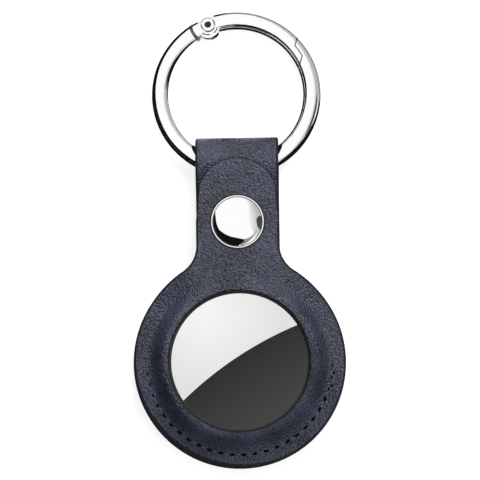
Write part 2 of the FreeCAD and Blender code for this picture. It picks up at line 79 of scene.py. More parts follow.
# The pocket's middle and the main heights are read from the frame, in mm.
tagLow, tagHigh = boxMm("tag_base")
backLow, backHigh = boxMm("back_panel")
tongueLow, tongueHigh = boxMm("front_tongue")
capLow, capHigh = boxMm("snap_cap")
coverLow, coverHigh = boxMm("tag_cover")
liningLow = boxMm("back_lining")[0]
pocketY = (tagLow.y + tagHigh.y) / 2

leather = {
    # the back lip lies on the table, so the lining starts one leather up
    "thick": liningLow.z,
    "discR": backHigh.x,
    "windowR": 14.0,
    "edgeR": 0.45,  # rounding of the cut and painted edges
    "thinEdge": 0.5,  # part of that rounding that is dyed at the window and the tip
    "shadeWide": 1.45,  # extra width of the dyed edge at the lower left, drawn as painted shade
    "shadeTurn": 238.0,  # where it is broadest, in degrees from +X
    "shadeSpread": 75.0,
    "frontSlope": 1.4,  # steeper than this the sheet isn't made thicker
    "backSlope": 1.3,
    "midZ": boxMm("front_panel")[0].z,
    "lipTop": boxMm("front_panel")[1].z,
    "lipEnd": 14.9,  # the wall starts to fall here
    "wallFoot": 18.25,  # and reaches the flat rim here
    "neckFrom": 25.0,  # degrees from +Y: flat neck inside, moulded pocket outside
    "pocketFrom": 58.0,
    "strapHalf": 8.3,
    "neckFillet": 6.0,
    "tipHalf": 7.7,
    "tipArch": 5.4,
    "tipY": tongueHigh.y - pocketY,
    "tongueTop": tongueLow.z + liningLow.z,
    "crestTop": tongueHigh.z,
    "snapY": (capLow.y + capHigh.y) / 2 - pocketY,
    "climbY": capHigh.y - pocketY + 0.1,
}
thick, discR, midZ, snapY = (leather[key] for key in ("thick", "discR", "midZ", "snapY"))

seam = {
    "radius": 18.5,
    "start": 186.0,  # degrees from +X, round the bottom of the rim
    "end": 357.0,
    "stitches": 24,
    "holeLong": 0.56,  # half length and half width of a needle hole
    "holeWide": 0.27,
    "holeDeep": 0.6,
    "holeRings": ((1.0, 0.0), (0.8, 0.7), (0.45, 1.0)),  # share of the size, share of the depth
    "threadR": 0.2,
    "strandFrom": 0.22,  # part of a stitch before its strand, and the strand's own part
    "strandRun": 0.56,
    "bedded": 0.1,  # depth of the strand's middle, and how much its ends dip
    "dip": 0.42,
    "thinner": 0.3,  # the ends are drawn thinner by this share
    "flatter": 1.1,  # and the strand is pressed this much wider
    "tack": ((0.62, 0.35), (1.72, 0.4)),  # back-tack: stitches from the end, mm outside the seam
    "tightUntil": 235.0,  # the first holes are pulled nearly shut by the thread
    "tightShare": 0.55,
    "tackFrom": 340.0,
    "tackShare": 0.75,
}

sheet = {
    "clear": 0.12,  # kept free of mesh points beside cut edges and holes
    "ringStep": 0.34,  # spacing of the mesh between rings, round a ring, on the strap
    "roundStep": 0.42,
    "gridStep": 0.5,
}


def smooth(value, start=0.0, end=1.0):
    # eased step from 0 at the start to 1 at the end
    share = min(max((value - start) / (end - start), 0.0), 1.0)
    return share * share * (3 - 2 * share)


def place(point):
    return Vector((point[0], point[1] + pocketY, point[2])) * 0.001


def meshObject(name, points, faces):
    mesh = bpy.data.meshes.new(name)
    mesh.from_pydata(points, [], faces)
    piece = bpy.data.objects.new(name, mesh)
    scene.collection.objects.link(piece)
    return piece


def newObject(name, points, faces, body, sharp=35.0):
    piece = meshObject(name, [place(p) for p in points], faces)
    piece.data.validate()
    smoothShade(piece, sharp)
    if body:
        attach(piece, body)
    return piece


def smoothShade(piece, sharp):
    for polygon in piece.data.polygons:
        polygon.use_smooth = True
    piece.data.set_sharp_from_angle(angle=radians(sharp))


def fixNormals(piece):
    tidy = bmesh.new()
    tidy.from_mesh(piece.data)
    bmesh.ops.recalc_face_normals(tidy, faces=tidy.faces)
    tidy.to_mesh(piece.data)
    tidy.free()


def lathe(name, profile, body, seat, steps=128, sharp=35.0):
    # turns a list of (radius, height) round an axis, closed where it meets the axis; seat puts a
    # point of the turned piece where it belongs, in mm from the pocket's middle
    points, faces, rings = [], [], []
    for radius, height in profile:
        if radius < 1e-6:
            rings.append([len(points)])
            points.append(seat(0.0, 0.0, height))
            continue
        ring = []
        for step in range(steps):
            angle = 2 * pi * step / steps
            ring.append(len(points))
            points.append(seat(radius * cos(angle), radius * sin(angle), height))
        rings.append(ring)
    for a, b in zip(rings, rings[1:]):
        for step in range(steps):
            after = (step + 1) % steps
            if len(a) == 1 and len(b) > 1:
                faces.append((a[0], b[after], b[step]))
            elif len(b) == 1 and len(a) > 1:
                faces.append((a[step], a[after], b[0]))
            elif len(a) > 1:
                faces.append((a[step], a[after], b[after], b[step]))
    piece = newObject(name, points, faces, None, sharp)
    fixNormals(piece)
    smoothShade(piece, sharp)
    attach(piece, body)
    return piece


def arcPoints(center, radius, start, end, count):
    angles = [radians(start + (end - start) * i / count) for i in range(count + 1)]
    return [(center[0] + radius * cos(a), center[1] + radius * sin(a)) for a in angles]


# Outline of the leather seen from above, drawn from the pocket's middle

def filletCenter():
    x = leather["strapHalf"] + leather["neckFillet"]
    reach = discR + leather["neckFillet"]
    return x, sqrt(reach ** 2 - x ** 2)


def tipCircle():
    half, rise = leather["tipHalf"], leather["tipArch"]
    radius = (half ** 2 + rise ** 2) / (2 * rise)
    return leather["tipY"] - radius, radius


def edgeWidth(x, y):
    # the hand-dyed edge is drawn broadest at the lower left, where its extra dark width is painted shade
    off = abs((degrees(atan2(y, x)) + 360) % 360 - leather["shadeTurn"])
    return 1 + leather["shadeWide"] * smooth(1 - off / leather["shadeSpread"])


def discAndNeck(inset):
    # right-hand side of the disc from its bottom, then the fillet up to the strap
    cx, cy = filletCenter()
    meet = degrees(atan2(cy, cx))
    half = arcPoints((0, 0), discR - inset, -90, meet, 190)
    return half + arcPoints((cx, cy), leather["neckFillet"] + inset, 180 + meet, 180, 20)[1:], cy


def frontOutline(inset):
    # right-hand side from the bottom of the disc to the tip, then its mirror
    half, cy = discAndNeck(inset)
    tipY, tipR = tipCircle()
    spread = degrees(asin(leather["tipHalf"] / tipR))
    tip = arcPoints((0, tipY), tipR - inset, 90 - spread, 90, 26)
    half += [(leather["strapHalf"] - inset, cy + (snapY - cy) * i / 8) for i in range(1, 9)]
    (x0, y0), (x1, y1) = half[-1], tip[0]
    half += [(x0 + (x1 - x0) * i / 14, y0 + (y1 - y0) * i / 14) for i in range(1, 14)]
    half += tip
    loop = half + [(-x, y) for x, y in reversed(half[1:-1])]
    wide = [inset * (edgeWidth(x, y) - 1) / hypot(x, y) for x, y in loop]
    return [(x * (1 - w), y * (1 - w)) for (x, y), w in zip(loop, wide)]


def backOutline(inset):
    # disc, neck and the unrolled strap, which is cut square at its end
    half, cy = discAndNeck(inset)
    side = leather["strapHalf"] - inset
    top = strapLength - inset
    count = int((top - cy) / 0.45)
    half += [(side, cy + (top - cy) * i / count) for i in range(1, count + 1)]
    half += [(side * (1 - i / 18), top) for i in range(1, 19)]
    return half + [(-x, y) for x, y in reversed(half[1:-1])]


def insideNeck(x, y, inset):
    # True outside the fillet circles and inside the strap's sides
    cx, cy = filletCenter()
    if hypot(x, y) < discR - inset:
        return True
    if y < 0 or abs(x) * cy > y * cx:
        return False
    if y < cy:
        return hypot(abs(x) - cx, y - cy) > leather["neckFillet"] + inset
    return abs(x) < leather["strapHalf"] - inset


def insideFront(x, y, inset):
    if not insideNeck(x, y, inset):
        return False
    shoulder = leather["tipY"] - leather["tipArch"]
    if y > shoulder:
        tipY, tipR = tipCircle()
        return hypot(x, y - tipY) < tipR - inset
    if y > snapY:
        share = (y - snapY) / (shoulder - snapY)
        narrow = (leather["tipHalf"] - leather["strapHalf"]) * share
        return abs(x) < leather["strapHalf"] + narrow - inset
    return True


def seamHoles():
    # places of the needle holes: angle in degrees and distance from the middle
    step = (seam["end"] - seam["start"]) / seam["stitches"]
    holes = [(seam["start"] + step * i, seam["radius"]) for i in range(seam["stitches"] + 1)]
    for back, out in seam["tack"]:
        holes.append((seam["end"] - step * back, seam["radius"] + out))
    return holes


def holeShare(angle):
    # how far the thread leaves a needle hole open
    if angle > seam["tackFrom"]:
        return seam["tackShare"]
    grow = smooth(angle, seam["start"], seam["tightUntil"])
    return seam["tightShare"] + (1 - seam["tightShare"]) * grow


def patternPoints(outline, inside, top):
    # points and fixed loops of a flat leather pattern, each point with its distance from the
    # nearest cut edge and its depth in a needle hole
    points, edges = [], []

    def addLoop(loop, cutEdge, deep):
        first = len(points)
        for x, y in loop:
            points.append((x, y, cutEdge, deep))
        for i in range(len(loop)):
            edges.append((first + i, first + (i + 1) % len(loop)))
        return list(range(first, first + len(loop)))

    radius = leather["edgeR"]
    insets = [0.0, radius * 0.13, radius * 0.5, radius]
    outer = [addLoop(outline(inset), inset, 0.0) for inset in insets][0]
    windows = [arcPoints((0, 0), leather["windowR"] + inset, 0, 358, 179) for inset in insets]
    inner = [addLoop(window, inset, 0.0) for window, inset in zip(windows, insets)][0]
    taken = []
    for angle, distance in seamHoles():
        turn = radians(angle)
        across = Vector((cos(turn), sin(turn)))
        along = Vector((-across.y, across.x))
        taken.append(across * distance)
        for part, deep in seam["holeRings"]:
            size = part * holeShare(angle)
            long, wide = along * (seam["holeLong"] * size), across * (seam["holeWide"] * size)
            ellipse = [taken[-1] + long * u + wide * v for u, v in arcPoints((0, 0), 1, 0, 330, 11)]
            addLoop([(p.x, p.y) for p in ellipse], 1.0, deep)
    clear = seam["holeLong"] + sheet["clear"]

    def addPoint(x, y):
        if any(abs(x - c.x) < clear and abs(y - c.y) < clear for c in taken):
            return
        if inside(x, y, radius * edgeWidth(x, y) + sheet["clear"]):
            points.append((x, y, 1.0, 0.0))

    ring = leather["windowR"] + radius + 0.3
    turnStart = 0.0
    while ring < discR - radius - 0.15:
        count = int(2 * pi * ring / sheet["roundStep"])
        for i in range(count):
            turn = 2 * pi * (i + turnStart) / count
            addPoint(ring * cos(turn), ring * sin(turn))
        turnStart = 0.5 - turnStart
        ring += sheet["ringStep"]
    row = 0
    y = 0.0
    gridStep = sheet["gridStep"]
    while y < top:
        x = -discR + (gridStep / 2 if row % 2 else 0)
        while x < discR:
            if hypot(x, y) > discR - 0.1:
                addPoint(x, y)
            x += gridStep
        y += gridStep * 0.87
        row += 1
    return points, edges, outer, inner


def sheetMesh(name, pattern, inside, topOf, underOf, body, pitsAbove=True):
    # a leather sheet: the pattern's triangles above and below, joined round both cut edges
    points, edges, outer, inner = pattern
    flat = [Vector((p[0], p[1])) for p in points]
    verts, _, triangles, origins, _, _ = delaunay_2d_cdt(flat, edges, [], 0, 1e-5)
    source = [group[0] if group else None for group in origins]
    back = {old: new for new, group in enumerate(origins) for old in group}
    radius = leather["edgeR"]
    above, below = [], []
    for vert, old in zip(verts, source):
        cut, deep = points[old][2:] if old is not None else (1.0, 0.0)
        drop = 0.0
        if cut < radius:
            drop = radius - sqrt(radius ** 2 - (radius - cut) ** 2)
        sink = deep * seam["holeDeep"]
        above.append(topOf(vert.x, vert.y, -drop - (sink if pitsAbove else 0)))
        below.append(underOf(vert.x, vert.y, drop + (0 if pitsAbove else sink)))
    count = len(verts)
    faces, kinds = [], []
    for face in triangles:
        x = sum(verts[i].x for i in face) / 3
        y = sum(verts[i].y for i in face) / 3
        if hypot(x, y) < leather["windowR"] or not inside(x, y, 0.0):
            continue
        marks = [points[source[i]] for i in face if source[i] is not None]
        pit = max((m[3] for m in marks), default=0) > 0
        atWindow = hypot(x, y) < leather["windowR"] + radius
        atTip = pitsAbove and y > snapY
        dyed = radius * (leather["thinEdge"] if atWindow or atTip else 1.0)
        rim = max((m[2] for m in marks), default=1) < dyed + 0.001
        faces.append(tuple(face))
        kinds.append(2 if pit and pitsAbove else 1 if rim else 0)
        faces.append(tuple(count + i for i in reversed(face)))
        kinds.append(2 if pit and not pitsAbove else 1 if rim else 0)
    for loop, turn in ((outer, 1), (inner, -1)):
        ids = [back[i] for i in loop]
        for a, b in zip(ids, ids[1:] + ids[:1]):
            wall = (a, count + a, count + b, b)
            faces.append(wall if turn > 0 else tuple(reversed(wall)))
            kinds.append(1)
    used = sorted({i for face in faces for i in face})
    renumber = {old: new for new, old in enumerate(used)}
    everything = above + below
    faces = [tuple(renumber[i] for i in face) for face in faces]
    piece = newObject(name, [everything[i] for i in used], faces, None, 60)
    for polygon, kind in zip(piece.data.polygons, kinds):
        polygon.material_index = kind
    if body:
        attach(piece, body)
    return piece


def neckShare(x, y):
    angle = abs(degrees(atan2(x, y)))
    return 1 - smooth(angle, leather["neckFrom"], leather["pocketFrom"])


def wallFall(x, y):
    return smooth(hypot(x, y), leather["lipEnd"], leather["wallFoot"])


def wallTop(x, y):
    # upper surface of the moulded pocket half
    drop = midZ + thick - leather["lipTop"]
    return leather["lipTop"] + drop * wallFall(x, y)


def frontTop(x, y, extra):
    share = neckShare(x, y)
    neck = leather["lipTop"] + (leather["tongueTop"] - leather["lipTop"]) * wallFall(x, y)
    climb = smooth(y, leather["climbY"], leather["tipY"])
    neck += (leather["crestTop"] - leather["tongueTop"]) * climb
    return x, y, wallTop(x, y) * (1 - share) + neck * share + extra


def frontUnder(x, y, extra):
    step = 0.05
    slope = hypot(
        frontTop(x + step, y, 0)[2] - frontTop(x - step, y, 0)[2],
        frontTop(x, y + step, 0)[2] - frontTop(x, y - step, 0)[2],
    ) / (2 * step)
    deep = thick * hypot(1, min(slope, leather["frontSlope"]))
    return x, y, frontTop(x, y, 0)[2] - deep + extra


# Strap, loop and flap of the back leather, as a path in the YZ plane

loop = {
    "bend": 3.0,
    "inner": 3.5,
    "y": backHigh.y - pocketY - 3.5 - thick,
    "flatEnd": snapY + 4.5,
    "flapGap": 0.05,
    "flapEnd": snapY - 6.3,
}
loop["z"] = loop["inner"] + thick + backLow.z + 0.05
loop["r"] = loop["inner"] + thick / 2


def crossing(flatZ, side):
    across = loop["y"] - loop["flatEnd"]
    rise = side * (flatZ - loop["z"]) + loop["bend"]
    apart = hypot(across, rise)
    reach = loop["bend"] + loop["r"]
    return asin(reach / apart) - atan2(rise, across), sqrt(apart ** 2 - reach ** 2)


def strapMoves():
    strapZ = midZ - thick / 2
    flapZ = midZ + loop["flapGap"] + thick / 2
    down, downRun = crossing(strapZ, -1)
    up, upRun = crossing(flapZ, 1)
    return [
        (0, loop["flatEnd"]),
        (-loop["bend"], down),
        (0, downRun),
        (loop["r"], pi + down + up),
        (0, upRun),
        (-loop["bend"], up),
        (0, loop["flatEnd"] - loop["flapEnd"]),
    ]


strapPath = strapMoves()
strapLength = sum(amount if radius == 0 else abs(radius) * amount for radius, amount in strapPath)


def strapPoint(length, lift):
    # a point at that length along the strap's middle layer, lifted along the sheet's normal
    y, z, heading = 0.0, midZ - thick / 2, 0.0
    for radius, amount in strapPath:
        run = amount if radius == 0 else abs(radius) * amount
        step = min(length, run)
        if radius == 0:
            y += cos(heading) * step
            z += sin(heading) * step
        else:
            turn = copysign(step / abs(radius), radius)
            y += radius * (sin(heading + turn) - sin(heading))
            z -= radius * (cos(heading + turn) - cos(heading))
            heading += turn
        length -= step
        if length < 1e-9:
            break
    return y - sin(heading) * lift, z + cos(heading) * lift


def backInside(x, y, inset):
    return insideNeck(x, y, inset) and y < strapLength - inset


def wallThick(x, y):
    step = 0.05
    slope = abs(wallTop(x + step, y) - wallTop(x - step, y))
    slope += abs(wallTop(x, y + step) - wallTop(x, y - step))
    return thick * hypot(1, min(slope / (2 * step), leather["backSlope"]))


def backSide(x, y, lift, wall):
    # mirror of the front's moulded half, then the strap, lifted off the sheet's middle layer
    if hypot(x, y) < discR - 0.5:
        return x, y, 2 * midZ - wallTop(x, y) + wall
    if y > 0:
        return (x,) + strapPoint(y, lift)
    return x, y, midZ - thick / 2 + lift


def backInner(x, y, extra):
    # the side that faces the tag
    return backSide(x, y, thick / 2 + extra, wallThick(x, y) + extra)


def backOuter(x, y, extra):
    return backSide(x, y, extra - thick / 2, extra)


# Materials

def linear(hexColour):
    parts = [int(hexColour[i:i + 2], 16) / 255 for i in (1, 3, 5)]
    return tuple(c / 12.92 if c <= 0.04045 else ((c + 0.055) / 1.055) ** 2.4 for c in parts) + (1.0,)


def addNode(tree, kind, values=None, links=None):
    node = tree.nodes.new("ShaderNode" + kind)
    for key, value in (values or {}).items():
        if key == "stops":  # both ends of a colour ramp: place and colour
            for end, (position, colour) in zip(node.color_ramp.elements, value):
                end.position, end.color = position, linear(colour)
        elif isinstance(key, int) or key in node.inputs:
            node.inputs[key].default_value = value
        else:
            setattr(node, key, value)
    for key, source in (links or {}).items():
        # a node stands for its first output
        socket = source.outputs[0] if isinstance(source, bpy.types.Node) else source
        tree.links.new(socket, node.inputs[key])
    return node


def newMaterial(name):
    material = bpy.data.materials.new(name)
    material.use_nodes = True
    material.node_tree.nodes.clear()
    return material, material.node_tree


def perMm(size):
    return 1000.0 / size  # texture scale for a pattern of that size in mm


def navyLeather():
    # PU-coated split leather, embossed with a fine pebble: soft sheen, broken up by the grain
    material, tree = newMaterial("navyPuLeather")
    spot = addNode(tree, "TexCoord").outputs["Object"]
    warp = addNode(tree, "TexNoise", {"Scale": perMm(1.1), "Detail": 2.0}, {"Vector": spot})
    bent = addNode(tree, "VectorMath", {"operation": "MULTIPLY_ADD", 1: (0.0003, 0.0003, 0.0003)},
                   {0: warp.outputs["Color"], 2: spot})
    # the pebbles are drawn at 0.45 mm: a finer grain would go grey at this size of picture
    pebble = addNode(tree, "TexVoronoi", {"Scale": perMm(0.45), "feature": "SMOOTH_F1", "Smoothness": 0.12},
                     {"Vector": bent})
    pores = addNode(tree, "TexNoise", {"Scale": perMm(0.35), "Detail": 2.0}, {"Vector": spot})
    patch = addNode(tree, "TexNoise", {"Scale": perMm(9.0), "Detail": 3.0}, {"Vector": spot})
    height = addNode(tree, "Math", {"operation": "SUBTRACT"}, {0: pores, 1: pebble})
    bump = addNode(tree, "Bump", {"Strength": 1.0, "Distance": 0.00028}, {"Height": height})
    # the colour follows the grain's height: darker hollows are painted shade, the large patches vary at
    # random
    tone = addNode(tree, "Math", {"operation": "MULTIPLY_ADD", 1: 0.25}, {0: height, 2: patch})
    colour = addNode(tree, "ValToRGB", {"stops": ((0.35, "#1d202c"), (0.75, "#363b4d"))}, {"Fac": tone})
    gloss = addNode(tree, "MapRange", {"From Min": 0.3, "From Max": 0.7, "To Min": 0.24, "To Max": 0.38},
                    {"Value": pores})
    shader = addNode(tree, "BsdfPrincipled", {"IOR": 1.48},
                     {"Base Color": colour, "Roughness": gloss, "Normal": bump})
    addNode(tree, "OutputMaterial", links={"Surface": shader})
    return material


def dyedFibre(name, texture, pattern, stops, look, relief=None):
    # fibre whose one pattern gives both its tone and its relief
    material, tree = newMaterial(name)
    spot = addNode(tree, "TexCoord").outputs["Object"]
    fibre = addNode(tree, texture, pattern, {"Vector": spot}).outputs["Fac"]
    colour = addNode(tree, "ValToRGB", {"stops": stops}, {"Fac": fibre})
    shader = addNode(tree, "BsdfPrincipled", look, {"Base Color": colour})
    if relief:
        bump = addNode(tree, "Bump", relief, {"Height": fibre})
        tree.links.new(bump.outputs["Normal"], shader.inputs["Normal"])
    addNode(tree, "OutputMaterial", links={"Surface": shader})
    return material


# polished or plated metal is a mirror with faint handling marks; a moulded, coated or felted surface
# has a grit of about 0.03 mm, too fine to show, so it is drawn as coarse as the size given below
metal = {"detail": 4.0, "from": (0.3, 0.75), "spread": (1.0, 2.2), "relief": 0.1, "look": {"Metallic": 1.0}}
coat = {"detail": 2.0, "from": (0.0, 1.0), "spread": (0.8, 1.2), "relief": 0.15, "look": {"IOR": 1.54}}


def evenSurface(kind, name, colour, roughness, size, depth=0.00002, edge=0.0):
    # one colour, with marks of that size in mm; a softened edge and painted shade in its joints,
    # where ambient occlusion darkens the colour, show where two metal parts meet
    material, tree = newMaterial(name)
    spot = addNode(tree, "TexCoord").outputs["Object"]
    marks = addNode(tree, "TexNoise", {"Scale": perMm(size), "Detail": kind["detail"]}, {"Vector": spot})
    low, high = (roughness * share for share in kind["spread"])
    gloss = addNode(tree, "MapRange",
                    {"From Min": kind["from"][0], "From Max": kind["from"][1], "To Min": low, "To Max": high},
                    {"Value": marks})
    bump = addNode(tree, "Bump", {"Strength": kind["relief"], "Distance": depth}, {"Height": marks})
    shader = addNode(tree, "BsdfPrincipled", {"Base Color": linear(colour), **kind["look"]},
                     {"Roughness": gloss, "Normal": bump})
    if edge:
        soft = addNode(tree, "Bevel", {"Radius": edge * 0.001, "samples": 6})
        tree.links.new(soft.outputs["Normal"], bump.inputs["Normal"])
        # painted shade: the colour goes black where ambient occlusion finds a joint or a crease
        shade = addNode(tree, "AmbientOcclusion", {"Distance": 0.0007, "samples": 8})
        aoJointShade = addNode(tree, "ValToRGB", {"stops": ((0.35, "#050505"), (0.62, colour))},
                        {"Fac": shade.outputs["AO"]})
        tree.links.new(aoJointShade.outputs["Color"], shader.inputs["Base Color"])
    addNode(tree, "OutputMaterial", links={"Surface": shader})
    return material


leatherFinish = navyLeather()
# dyed and burnished raw edge of the leather: matt fibre, near black and slightly uneven
paintFinish = dyedFibre(
    "burnishedRawEdge", "TexNoise", {"Scale": perMm(0.8), "Detail": 2.0},
    ((0.35, "#0b0c11"), (0.7, "#171a22")), {"Roughness": 0.7, "IOR": 1.49, "Specular IOR Level": 0.2},
    {"Strength": 0.25, "Distance": 0.00005})
# inside of a needle hole: raw fibre in shade, its fibres of 0.02 mm drawn as bundles of 0.2 mm
holeFinish = dyedFibre(
    "punchedFibre", "TexNoise", {"Scale": perMm(0.2)},
    ((0.3, "#040507"), (0.7, "#0b0c10")), {"Roughness": 0.95, "Specular IOR Level": 0.1})
# bonded polyester sewing thread: plies wound round it give a soft striped sheen; a wave repeats
# at 0.31 of its scale, so the plies are 0.28 mm apart
threadFinish = dyedFibre(
    "bondedPolyesterThread", "TexWave",
    {"Scale": perMm(0.9), "Distortion": 1.5, "bands_direction": "DIAGONAL"},
    ((0.2, "#1c202c"), (0.9, "#343a4d")), {"Roughness": 0.5, "IOR": 1.57, "Sheen Weight": 0.3},
    {"Strength": 0.5, "Distance": 0.00006})
# bright, sharp mirror
chromeFinish = evenSurface(metal, "chromePlatedZinc", "#f0f0f1", 0.03, 4.0, 0.000002, 0.12)
# clear mirror, a little greyer, with hardly a mark
steelFinish = evenSurface(metal, "mirrorPolishedSteel", "#d7d7d7", 0.012, 9.0, 0.0000005)
# grey wire with a satin streak, its drawing marks coarser than in life
springFinish = evenSurface(metal, "drawnSpringSteel", "#a8a8aa", 0.18, 0.5, 0.000004)
# warm yellow satin metal
brassFinish = evenSurface(metal, "stampedBrass", "#d8b878", 0.16, 1.0, 0.000004)
# pale and dark grey satin metal
canFinish = evenSurface(metal, "nickelPlatedCan", "#c9c9c6", 0.14, 2.0, 0.000004)
magnetFinish = evenSurface(metal, "nickelPlatedMagnet", "#8f8f90", 0.22, 1.0, 0.000004)
# dull black that takes no shine: painted shade in joints, creases, the rivet's dish and round the snap cap's
# foot
paintedShadeFinish = evenSurface(coat, "paintedJointShade", "#0c0c0d", 0.6, 0.3)
# clean white with a soft shine, and a dull mid grey
whiteFinish = evenSurface(coat, "whitePolycarbonate", "#e9e9e6", 0.18, 0.3)
greyFinish = evenSurface(coat, "greyGlassFilledNylon", "#4b4c4f", 0.5, 0.2)
# dark green lacquer with a faint gloss
boardFinish = evenSurface(coat, "greenSolderMask", "#12352a", 0.32, 0.25)
# dull nap, near black
liningFinish = evenSurface(coat, "blackMicrofibreLining", "#15171d", 0.8, 0.15)
print("materials made:", len(bpy.data.materials))


def dress(piece, slot, *finishes):
    for finish in finishes:
        piece.data.materials.append(finish)


# Leather pieces

frontPattern = patternPoints(frontOutline, insideFront, leather["tipY"])
frontLeather = sheetMesh("frontLeather", frontPattern, insideFront, frontTop, frontUnder, None)
dress(frontLeather, "navy_leather", leatherFinish, paintFinish, holeFinish)
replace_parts(frontLeather, "front_panel", "front_tongue")
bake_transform(frontLeather)
print("front leather:", len(frontLeather.data.polygons), "faces")

backPattern = patternPoints(backOutline, backInside, strapLength)
backLeather = sheetMesh("backLeather", backPattern, backInside, backInner, backOuter, "holder", False)
dress(backLeather, "navy_leather", leatherFinish, paintFinish, holeFinish)
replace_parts(backLeather, "back_panel")
print("back leather:", len(backLeather.data.polygons), "faces")


def threadRow(name, side):
    # one strand per stitch: it dips into a hole at each end and lies bedded in the leather between
    points, faces = [], []
    around, steps = 8, 10
    holes = sorted(seamHoles())
    surface = midZ + side * thick
    for (start, radius), (end, _) in zip(holes, holes[1:]):
        first = len(points)
        for i in range(steps + 1):
            share = i / steps
            turn = radians(start + (end - start) * (seam["strandFrom"] + seam["strandRun"] * share))
            dip = abs(2 * share - 1) ** 3
            z = surface - side * (seam["bedded"] + seam["dip"] * dip)
            strand = seam["threadR"] * (1 - seam["thinner"] * dip)
            for k in range(around):
                roll = 2 * pi * k / around
                reach = radius + strand * seam["flatter"] * cos(roll)
                points.append((reach * cos(turn), reach * sin(turn), z + strand * sin(roll)))
        for i in range(steps):
            for k in range(around):
                a, b = first + i * around + k, first + i * around + (k + 1) % around
                faces.append((a, b, b + around, a + around))
        faces.append(tuple(first + k for k in reversed(range(around))))
        faces.append(tuple(first + steps * around + k for k in range(around)))
    piece = newObject(name, points, faces, "holder", 70)
    fixNormals(piece)
    dress(piece, "thread", threadFinish)
    return piece


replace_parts(threadRow("needleThread", 1), "needle_thread")
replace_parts(threadRow("bobbinThread", -1), "bobbin_thread")
print("threads:", seam["stitches"], "stitches and a back-tack on each side")


# Polished cover of the tag

tagCover = {
    "low": coverLow.z,
    "top": coverHigh.z,
    "radius": coverHigh.x,
    "crown": 0.7,
    "wall": 0.4,
    "rings": [0.02, 0.1, 0.4] + [0.8 * i for i in range(1, 18)],  # radii that carry the dome's mesh
}
tagCover["curve"] = (tagCover["radius"] ** 2 + tagCover["crown"] ** 2) / (2 * tagCover["crown"])


def domeHeight(radius):
    return tagCover["top"] - tagCover["curve"] + sqrt(tagCover["curve"] ** 2 - radius ** 2)


def coverProfile():
    outer, wall = tagCover["radius"], tagCover["wall"]
    rim = domeHeight(outer)
    outside = [(0.0, tagCover["top"])] + [(r, domeHeight(r)) for r in tagCover["rings"]]
    outside += [(outer - 0.15, domeHeight(outer - 0.15)), (outer - 0.04, rim - 0.03), (outer, rim - 0.14)]
    outside += [(outer, tagCover["low"]), (outer - wall, tagCover["low"])]
    inside = [(r, domeHeight(r) - wall) for r in (outer - wall, 12.0, 8.0, 4.0, 1.0)]
    return outside + inside + [(0.0, tagCover["top"] - wall)]


cover = lathe("tagCover", coverProfile(), "battery_cover", lambda x, y, z: (x, y, z), 192)
dress(cover, "polished_steel", steelFinish)
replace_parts(cover, "tag_cover")
print("tag cover:", len(cover.data.polygons), "faces")


# Domed cap of the snap

snapCap = {
    "radius": (capHigh.x - capLow.x) / 2,
    "seat": leather["tongueTop"],
    "top": capHigh.z,
    "low": capLow.z,
    "shankR": 1.3,
    "domeR": 4.9,  # the dome ends in a crease inside the rolled rim
    "domeRise": 1.72,
    "rim": 0.16,  # radius of the rolled rim
    "rimZ": 0.1,  # height of the rim's middle and of the crease over the seat
    "gap": 0.28,  # painted contact shadow: a black ring on the leather round the rim's foot
    "gapZ": 0.03,
}


def capProfile():
    rise, reach = snapCap["domeRise"], snapCap["domeR"]
    curve = (reach ** 2 + rise ** 2) / (2 * rise)
    end = asin(reach / curve)
    turns = [end * i / 48 for i in range(49)]
    dome = [(curve * sin(t), snapCap["top"] - curve * (1 - cos(t))) for t in turns]
    outer, seat, shank = snapCap["radius"], snapCap["seat"], snapCap["shankR"]
    rimZ, gapZ, gap = seat + snapCap["rimZ"], seat + snapCap["gapZ"], outer + snapCap["gap"]
    rim = arcPoints((outer - snapCap["rim"], rimZ), snapCap["rim"], 170, 0, 12)
    foot = [(outer, gapZ), (gap, gapZ), (gap, seat), (shank, seat), (shank, snapCap["low"])]
    return dome + [(reach + 0.01, rimZ)] + rim + foot + [(0.0, snapCap["low"])]


cap = lathe("snapCap", capProfile(), "tongue", lambda x, y, z: (x, y + snapY, z), 128)
dress(cap, "chrome", chromeFinish, paintedShadeFinish)
# painted shade in the crease and a painted contact shadow round the cap's foot take the black finish
creaseEnd = snapCap["radius"] - 2 * snapCap["rim"] + 0.02
for polygon in cap.data.polygons:
    corners = [cap.data.vertices[i].co * 1000 for i in polygon.vertices]
    reaches = [hypot(c.x, c.y - pocketY - snapY) for c in corners]
    inCreaseShade = min(reaches) > snapCap["domeR"] - 0.02 and max(reaches) < creaseEnd
    inContactShadow = max(reaches) > snapCap["radius"] + 0.01
    polygon.material_index = 1 if inCreaseShade or inContactShadow else 0
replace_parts(cap, "snap_cap")
print("snap cap:", len(cap.data.polygons), "faces")


# Painted shade along the joints of the spring-gate ring, and its rivet, drawn in the ring's own plane

